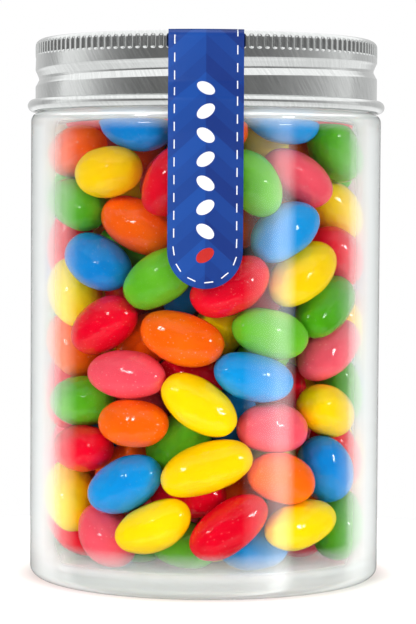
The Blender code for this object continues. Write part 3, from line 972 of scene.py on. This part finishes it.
def settled_beans():
    """Centres, axes, lengths and widths of all sweets, moved until they lie clear of each other."""
    home, home_axis, length, width = first_places(np.random.default_rng(SEED))
    radius = width / 2 * CONTACT_SHARE
    half = length / 2 - radius
    others = len(home) - len(FRONT_BEANS) - len(SECOND_BEANS)
    hold = np.array(
        [FRONT_HOLD] * len(FRONT_BEANS) + [SECOND_HOLD] * len(SECOND_BEANS) + [OTHER_HOLD] * others
    )
    centre, axis = home.copy(), home_axis.copy()
    first, second = np.triu_indices(len(home), 1)
    reach = (half + radius)[first] + (half + radius)[second] + PAIR_MARGIN
    for count in range(ROUNDS):
        if count % PAIRS_EVERY == 0:
            close = np.linalg.norm(centre[first] - centre[second], axis=1) < reach
            pairs = first[close], second[close]
        shift, turn = push_apart(centre, axis, half, radius, pairs)
        more_shift, more_turn = push_inside(centre, axis, half, width / 2)
        grip = hold * (1.0 if count < RELEASE else RELEASED_GRIP)
        if count < ROUNDS - WALL_ROUNDS:
            more_shift += shift + (home - centre) * grip
            more_turn += turn + (home_axis - axis) * grip.max(axis=1)[:, None]
        centre += STEP * more_shift
        axis += STEP * more_turn
        axis /= np.linalg.norm(axis, axis=1)[:, None]
    return centre, axis, length, width


# Colours of the sweets: deep and bright tone, share of the unseen ones in twenty, strength of the flecks
SHELLS = {
    "red": ("#CC0018", "#FF002C", 4, 0.12),
    "orange": ("#F04800", "#FF720A", 4, 0.2),
    "yellow": ("#FFC400", "#FFE400", 4, 0.0),
    "green": ("#3E9800", "#74C830", 3, 0.07),
    "blue": ("#0078CC", "#129CE4", 3, 0.06),
    "pink": ("#F0485A", "#FB6070", 2, 0.22),
}


def bean_colours(centres):
    """A colour for each sweet: the seen ones as listed, the others drawn so that neighbours differ."""
    rng = np.random.default_rng(SEED)
    colours = [row[0] for row in FRONT_BEANS + SECOND_BEANS]
    pool = [name for name, shell in SHELLS.items() for _ in range(shell[2])]
    for i in range(len(colours), len(centres)):
        away = np.linalg.norm(centres[:i] - centres[i], axis=1)
        near = [colours[k] for k in np.argsort(away)[:4] if away[k] < TOO_NEAR]
        choices = [name for name in pool if name not in near] or pool
        colours.append(choices[rng.integers(len(choices))])
    return colours


def sweet_tree():
    """A plump oval on every point, turned and sized by the point's own values, then made gently uneven."""
    inputs = {
        "Segments": "NodeSocketInt",
        "Rings": "NodeSocketInt",
        "Bluntness": "NodeSocketFloat",
        "Bend": "NodeSocketFloat",
        "Unevenness": "NodeSocketFloat",
        "Lump Scale": "NodeSocketFloat",
        "Seed": "NodeSocketFloat",
        "Material": "NodeSocketMaterial",
    }
    tree, start, end = tree_with("settled_sweets", inputs)
    given = start.outputs
    ball = node(
        tree,
        "GeometryNodeMeshUVSphere",
        {"Segments": given["Segments"], "Rings": given["Rings"], "Radius": 1.0},
    )
    place = node(tree, "GeometryNodeInputPosition")
    parts = node(tree, "ShaderNodeSeparateXYZ", {"Vector": place}).outputs
    square = node(tree, "ShaderNodeMath", {0: parts["Z"], 1: parts["Z"]}, operation="MULTIPLY")
    left = node(tree, "ShaderNodeMath", {0: 1.0001, 1: square}, operation="SUBTRACT")
    fuller = node(tree, "ShaderNodeMath", {0: left, 1: given["Bluntness"]}, operation="POWER")
    arch = node(tree, "ShaderNodeMath", {0: square, 1: given["Bend"]}, operation="MULTIPLY")
    x = node(tree, "ShaderNodeMath", {0: parts["X"], 1: fuller, 2: arch}, operation="MULTIPLY_ADD")
    y = node(tree, "ShaderNodeMath", {0: parts["Y"], 1: fuller}, operation="MULTIPLY")
    form = node(tree, "ShaderNodeCombineXYZ", {"X": x, "Y": y, "Z": parts["Z"]})
    oval = node(tree, "GeometryNodeSetPosition", {"Geometry": ball, "Position": form})
    turn = node(tree, "GeometryNodeInputNamedAttribute", {"Name": "turn"}, data_type="FLOAT_VECTOR")
    size = node(tree, "GeometryNodeInputNamedAttribute", {"Name": "size"}, data_type="FLOAT_VECTOR")
    rotation = node(tree, "FunctionNodeEulerToRotation", {"Euler": turn.outputs["Attribute"]})
    placed = node(
        tree,
        "GeometryNodeInstanceOnPoints",
        {
            "Points": given["Geometry"],
            "Instance": oval,
            "Rotation": rotation,
            "Scale": size.outputs["Attribute"],
        },
    )
    real = node(tree, "GeometryNodeRealizeInstances", {"Geometry": placed})
    lumps = node(
        tree,
        "ShaderNodeTexNoise",
        {"Vector": place, "W": given["Seed"], "Scale": given["Lump Scale"], "Detail": 1.0},
        noise_dimensions="4D",
    )
    centred = node(tree, "ShaderNodeMath", {0: lumps, 1: 0.5}, operation="SUBTRACT")
    amount = node(tree, "ShaderNodeMath", {0: centred, 1: given["Unevenness"]}, operation="MULTIPLY")
    push = node(
        tree,
        "ShaderNodeVectorMath",
        {0: node(tree, "GeometryNodeInputNormal"), "Scale": amount},
        operation="SCALE",
    )
    uneven = node(tree, "GeometryNodeSetPosition", {"Geometry": real, "Offset": push})
    soft = node(tree, "GeometryNodeSetShadeSmooth", {"Geometry": uneven})
    coated = node(tree, "GeometryNodeSetMaterial", {"Geometry": soft, "Material": given["Material"]})
    plug(end, {"Geometry": coated})
    return tree


def make_sweets():
    """All sweets, one piece for each colour, over a core of their own."""
    centres, axes, lengths, widths = settled_beans()
    colours = bean_colours(centres)
    rng = np.random.default_rng(SEED)
    rolls = rng.uniform(0, tau, len(centres))
    shades = rng.uniform(0.2, 0.8, len(centres))
    tree = sweet_tree()
    for name, (deep, bright, _, speckle) in SHELLS.items():
        chosen = [i for i, colour in enumerate(colours) if colour == name]
        source = bpy.data.meshes.new("sweet_points")
        source.from_pydata([tuple(centres[i] * MM) for i in chosen], [], [])
        turns, sizes, depths = [], [], []
        for i in chosen:
            stand = Vector(axes[i]).to_track_quat("Z", "X").to_matrix()
            turns += list((stand @ Matrix.Rotation(rolls[i], 3, "Z")).to_euler())
            sizes += [widths[i] / 2 * MM, widths[i] / 2 * MM, lengths[i] / 2 * MM]
            depths.append(shades[i])
        for label, kind, field, numbers in (
            ("turn", "FLOAT_VECTOR", "vector", turns),
            ("size", "FLOAT_VECTOR", "vector", sizes),
            ("shade", "FLOAT", "value", depths),
        ):
            source.attributes.new(label, kind, "POINT").data.foreach_set(field, numbers)
        finish = sugar_shell("sugar_shell_" + name, deep, bright, speckle)
        values = {
            "Segments": 40,
            "Rings": 28,
            "Bluntness": -0.055,
            "Bend": 0.07,
            "Unevenness": 1.1 * MM,
            "Lump Scale": LUMPS_PER_METRE,
            "Seed": float(SEED),
            "Material": finish,
        }
        mesh = grown(source, tree, values)
        mesh.name = "sweets_" + name
        piece = add_object("sweets_" + name, mesh)
        dress(piece, "jelly_beans")


def make_core():
    """Rough rounded mass in the middle of the heap, coloured as painted shade."""
    bm = bmesh.new()
    low = arc(0, MIDDLE_FROM, MIDDLE_RADIUS, -90, 0, 9)
    high = arc(0, MIDDLE_TO, MIDDLE_RADIUS, 0, 90, 9)
    profile = [(0, low[0][1])] + low[1:] + high[:-1] + [(0, high[-1][1])]
    skin(bm, [ring(bm, radius, height, 48) for radius, height in profile])
    core = finished("heap_core", bm, core_in_painted_shade())
    dress(core, "jelly_beans")


# Studio, in metres and degrees
AIM = Vector((0, 0, 0.07))
TABLE_TOP_REACH = 0.115
TABLE_REACH = 3.0
SCREEN_RADIUS = 1.3
SCREEN_HALF_ANGLE = 112
SCREEN_HALF_HEIGHT = 0.9
SCREEN_POINTS = 57
# Painted shadow round the jar's foot: brightness of the table by distance from the jar's axis in
# millimetres
FOOT_PAINTED_SHADOW = [(42, 0.5), (45, 0.66), (49, 0.85), (54, 0.95)]
# Brightness of the screen's felt by degrees from the front
FELT_SHADE = [(0, 0.06), (84, 0.06), (108, 0.6), (180, 0.6)]


def softbox(name, azimuth, elevation, distance, width, height, power):
    """A soft light aimed at the jar's middle; azimuth runs right of the front."""
    data = bpy.data.lights.new(name, "AREA")
    data.shape = "RECTANGLE"
    data.size, data.size_y = width, height
    data.energy = power
    lamp = add_object(name, data)
    a, e = radians(azimuth), radians(elevation)
    out = Vector((sin(a) * cos(e), -cos(a) * cos(e), sin(e)))
    stand = Matrix.Translation(AIM + out * distance)
    lamp.matrix_world = stand @ out.to_track_quat("Z", "Y").to_matrix().to_4x4()
    return lamp


def curved_screen(name, finish):
    """An upright screen round the front of the jar, seen only in gloss."""
    count = SCREEN_POINTS
    angles = np.radians(np.linspace(-SCREEN_HALF_ANGLE, SCREEN_HALF_ANGLE, count))
    heights = (-SCREEN_HALF_HEIGHT, SCREEN_HALF_HEIGHT)
    points = [(SCREEN_RADIUS * sin(a), -SCREEN_RADIUS * cos(a), z) for z in heights for a in angles]
    faces = [(i, i + 1, count + i + 1, count + i) for i in range(count - 1)]
    mesh = bpy.data.meshes.new(name)
    mesh.from_pydata(points, [], faces)
    mesh.materials.append(finish)
    made = add_object(name, mesh)
    made.visible_camera = made.visible_diffuse = made.visible_shadow = False
    return made


def table_with_painted_shadow():
    """Matt white lacquer with a faint mottle, and a painted shadow that greys it round the jar's foot."""
    made, tree, shader = surface("white_lacquer_painted_foot_shadow", Roughness=0.9)
    place = node(tree, "ShaderNodeTexCoord").outputs["Object"]
    mottle = node(tree, "ShaderNodeTexNoise", {"Vector": place, "Scale": cells(167)})
    out = node(tree, "ShaderNodeVectorMath", {0: place}, operation="LENGTH").outputs["Value"]
    uneven = node(tree, "ShaderNodeMath", {0: mottle, 1: 2 * MM, 2: out}, operation="MULTIPLY_ADD")
    # painted shadow: the table greys toward the jar's foot, by distance from the axis
    near = node(tree, "ShaderNodeMath", {0: uneven, 1: cells(100)}, operation="MULTIPLY")
    stops = [(reach / 100, glow) for reach, glow in FOOT_PAINTED_SHADOW]
    shade = graded(node(tree, "ShaderNodeValToRGB", {"Fac": near}), stops)
    plug(shader, {"Base Color": shade})
    return made


def round_and_height(tree):
    """Angle right of the front, in radians, and height in metres, at each place round the jar."""
    place = node(tree, "ShaderNodeTexCoord").outputs["Object"]
    parts = node(tree, "ShaderNodeSeparateXYZ", {"Vector": place}).outputs
    back = node(tree, "ShaderNodeMath", {0: parts["Y"], 1: -1.0}, operation="MULTIPLY")
    return node(tree, "ShaderNodeMath", {0: parts["X"], 1: back}, operation="ARCTAN2"), parts["Z"]


def graded_felt():
    """Grey wool felt that is dyed lighter toward the screen's two ends."""
    made, tree, shader = surface("graded_grey_felt", Roughness=1.0)
    angle, _ = round_and_height(tree)
    aside = node(tree, "ShaderNodeMath", {0: angle}, operation="ABSOLUTE")
    share = node(tree, "ShaderNodeMath", {0: aside, 1: 1 / pi}, operation="MULTIPLY")
    place = node(tree, "ShaderNodeTexCoord").outputs["Object"]
    fibres = node(tree, "ShaderNodeTexNoise", {"Vector": place, "Scale": cells(2.5)})
    uneven = node(tree, "ShaderNodeMath", {0: fibres, 1: 0.01, 2: share}, operation="MULTIPLY_ADD")
    stops = [(away / 180, glow) for away, glow in FELT_SHADE]
    shade = graded(node(tree, "ShaderNodeValToRGB", {"Fac": uneven}), stops)
    plug(shader, {"Base Color": shade})
    return made


def lit_gauze(name, round_about, horizon, sky, brightest):
    """Thin gauze lit from behind, whose glow follows the azimuth in the horizon's band of heights, and the
    height alone beyond it. Azimuths are in degrees right of the front, heights in metres."""
    made, tree, shader = surface(name)
    tree.nodes.remove(shader)
    angle, up = round_and_height(tree)
    turn = node(tree, "ShaderNodeMath", {0: angle, 1: 1 / tau, 2: 0.5}, operation="MULTIPLY_ADD")
    height = node(tree, "ShaderNodeMath", {0: up, 1: 0.5, 2: 0.5}, operation="MULTIPLY_ADD")
    by_azimuth, in_band, by_height = [
        graded(node(tree, "ShaderNodeValToRGB", {"Fac": share}), stops)
        for share, stops in (
            (turn, [((azimuth + 180) / 360, glow) for azimuth, glow in round_about]),
            (height, [((z + 1) / 2, glow) for z, glow in horizon]),
            (height, [((z + 1) / 2, glow) for z, glow in sky]),
        )
    ]
    glow = node(tree, "ShaderNodeMath", {0: by_azimuth, 1: in_band, 2: by_height}, operation="MULTIPLY_ADD")
    strength = node(tree, "ShaderNodeMath", {0: glow, 1: brightest}, operation="MULTIPLY")
    emission = node(tree, "ShaderNodeEmission", {"Color": (1, 1, 1, 1), "Strength": strength})
    clear = node(tree, "ShaderNodeBsdfTransparent")
    both = node(tree, "ShaderNodeAddShader", {0: emission, 1: clear})
    plug(tree.nodes["Material Output"], {"Surface": both})
    return made


def light_only(lamp, piece, state="INCLUDE"):
    """Keeps a light or a lit screen to one piece, or off it."""
    receivers = bpy.data.collections.new(lamp.name + "_receivers")
    receivers.objects.link(piece)
    receivers.collection_objects[0].light_linking.link_state = state
    lamp.light_linking.receiver_collection = receivers


# Glow round the horizon by azimuth, as the jar's wall and the lid's sides mirror it
JAR_GLOW = [(-180, 0.0), (-144, 0.02), (-130, 0.07), (-121, 0.12), (-112, 0.1), (-108, 0.12)]
JAR_GLOW += [(-102, 0.26), (-94, 0.1), (-89, 0.0), (24, 0.0), (40, 0.3), (48, 0.62), (53, 0.55)]
JAR_GLOW += [(60, 0.0), (92, 0.0), (104, 0.12), (121, 0.14), (130, 0.07), (144, 0.02), (180, 0.0)]
LID_GLOW = [(-180, 0.58), (-140, 0.56), (-126, 0.42), (-113, 0.6), (-111, 0.76), (-98, 0.86), (-88, 0.9)]
LID_GLOW += [(-78, 0.66), (-68, 0.42), (-58, 0.28), (-48, 0.2), (-36, 0.15), (20, 0.15), (40, 0.2)]
LID_GLOW += [(52, 0.28), (66, 0.4), (88, 0.66), (110, 0.62), (113, 0.54), (126, 0.54), (180, 0.58)]
# Share of that glow by height in metres, and the glow that comes instead of it
LID_HORIZON = [(-1.0, 0.0), (-0.12, 0.0), (0.03, 1.0), (0.48, 1.0), (0.6, 0.0), (1.0, 0.0)]
LID_SKY = [(-1.0, 1.05), (-0.12, 1.05), (0.03, 0.0), (0.48, 0.0), (0.6, 1.25), (1.0, 1.25)]
JAR_HORIZON = [(-1.0, 1.0), (0.08, 1.0), (0.3, 0.0), (1.0, 0.0)]
JAR_SKY = [(-1.0, 0.0), (0.45, 0.0), (0.6, 0.8), (1.0, 0.8)]


def make_stage(jar, lid):
    """White table with a painted shadow at the jar's foot, a grey screen that gives the metal its dark
    bands, and lit gauze that both mirror.
    """
    white = table_with_painted_shadow()
    for name, inner, outer in (
        ("table_top", 0, TABLE_TOP_REACH),
        ("table_beyond", TABLE_TOP_REACH, TABLE_REACH),
    ):
        bm = bmesh.new()
        bridge(bm, ring(bm, inner, 0, 96), ring(bm, outer, 0, 96))
        bmesh.ops.recalc_face_normals(bm, faces=bm.faces)
        table = add_object(name, mesh_of(name, bm))
        table.data.materials.append(white)
        table.visible_camera = not inner
        table.visible_glossy = table.visible_transmission = False
        if not inner:
            light_only(softbox("table_light", 0, 89, 1.0, 0.9, 0.9, 15.0), table)
    curved_screen("grey_screen", graded_felt())
    for piece, reach, finish in (
        (jar, 1.0, lit_gauze("lit_gauze_jar", JAR_GLOW, JAR_HORIZON, JAR_SKY, 9.0)),
        (lid, 1.1, lit_gauze("lit_gauze_lid", LID_GLOW, LID_HORIZON, LID_SKY, 1.05)),
    ):
        name = piece.name + "_gauze"
        bm = bmesh.new()
        skin(bm, [ring(bm, radius, height, 72) for radius, height in arc(0, 0, reach, -89, 89, 23)])
        tent = add_object(name, mesh_of(name, bm))
        tent.data.materials.append(finish)
        tent.visible_camera = tent.visible_diffuse = tent.visible_shadow = tent.visible_transmission = False
        light_only(tent, piece)


def make_lights(lid):
    """White surroundings, two keys and a top light that leave out the lid, and soft fills all round."""
    lid.visible_shadow = False  # the studio's light also comes from below the lid's rim
    world = bpy.data.worlds.new("white_studio")
    world.use_nodes = True
    tree = world.node_tree
    back = tree.nodes["Background"]
    back.inputs["Color"].default_value = (1, 1, 1, 1)
    path = node(tree, "ShaderNodeLightPath").outputs
    through = node(
        tree,
        "ShaderNodeMath",
        {0: path["Is Transmission Ray"], 1: 0.65, 2: 0.15},
        operation="MULTIPLY_ADD",
    )
    strength = node(tree, "ShaderNodeMath", {0: path["Is Camera Ray"], 1: through}, operation="MAXIMUM")
    plug(back, {"Strength": strength})
    bpy.context.scene.world = world
    for name, azimuth, elevation, size, power in (
        ("key_left", -42, 22, 0.14, 3.6),
        ("key_right", 54, 12, 0.14, 3.2),
        ("top_light", 0, 88, 0.7, 2.6),
    ):
        light_only(softbox(name, azimuth, elevation, 1.0, size, size, power), lid, "EXCLUDE")
    for name, azimuth, power in (
        ("fill_front", 0, 3.4),
        ("fill_left", -75, 2.2),
        ("fill_right", 75, 2.0),
        ("fill_back", 180, 3.4),
    ):
        lamp = softbox(name, azimuth, 15, 1.1, 0.9, 0.7, power)
        lamp.visible_glossy = lamp.visible_transmission = False


def make_camera():
    """The photograph's view: level with the lower lid, a long lens, tipped down a little."""
    data = bpy.data.cameras.new("photo_view")
    data.lens = 135.77
    data.sensor_width = 36
    camera = add_object("photo_view", data)
    down, roll = 0.04726, 0.0062
    stand = Vector((0.00078, -0.59296, 0.0941))
    turn = Matrix.Rotation(pi / 2 - down, 4, "X") @ Matrix.Rotation(roll, 4, "Z")
    camera.matrix_world = Matrix.Translation(stand) @ turn
    bpy.context.scene.camera = camera


white_ink = print_ink("printed_white_stitch", "#F4F6FC")
jar = make_jar()
lid = make_lid()
make_strip(blue_film())
make_stitches(white_ink)
make_motif()
make_sweets()
make_core()
make_stage(jar, lid)
make_lights(lid)
make_camera()
bpy.context.scene.view_settings.view_transform = "Standard"
cycles = bpy.context.scene.cycles
cycles.caustics_reflective = False
cycles.caustics_refractive = False
cycles.max_bounces = 24
cycles.glossy_bounces = 16
cycles.transmission_bounces = 24
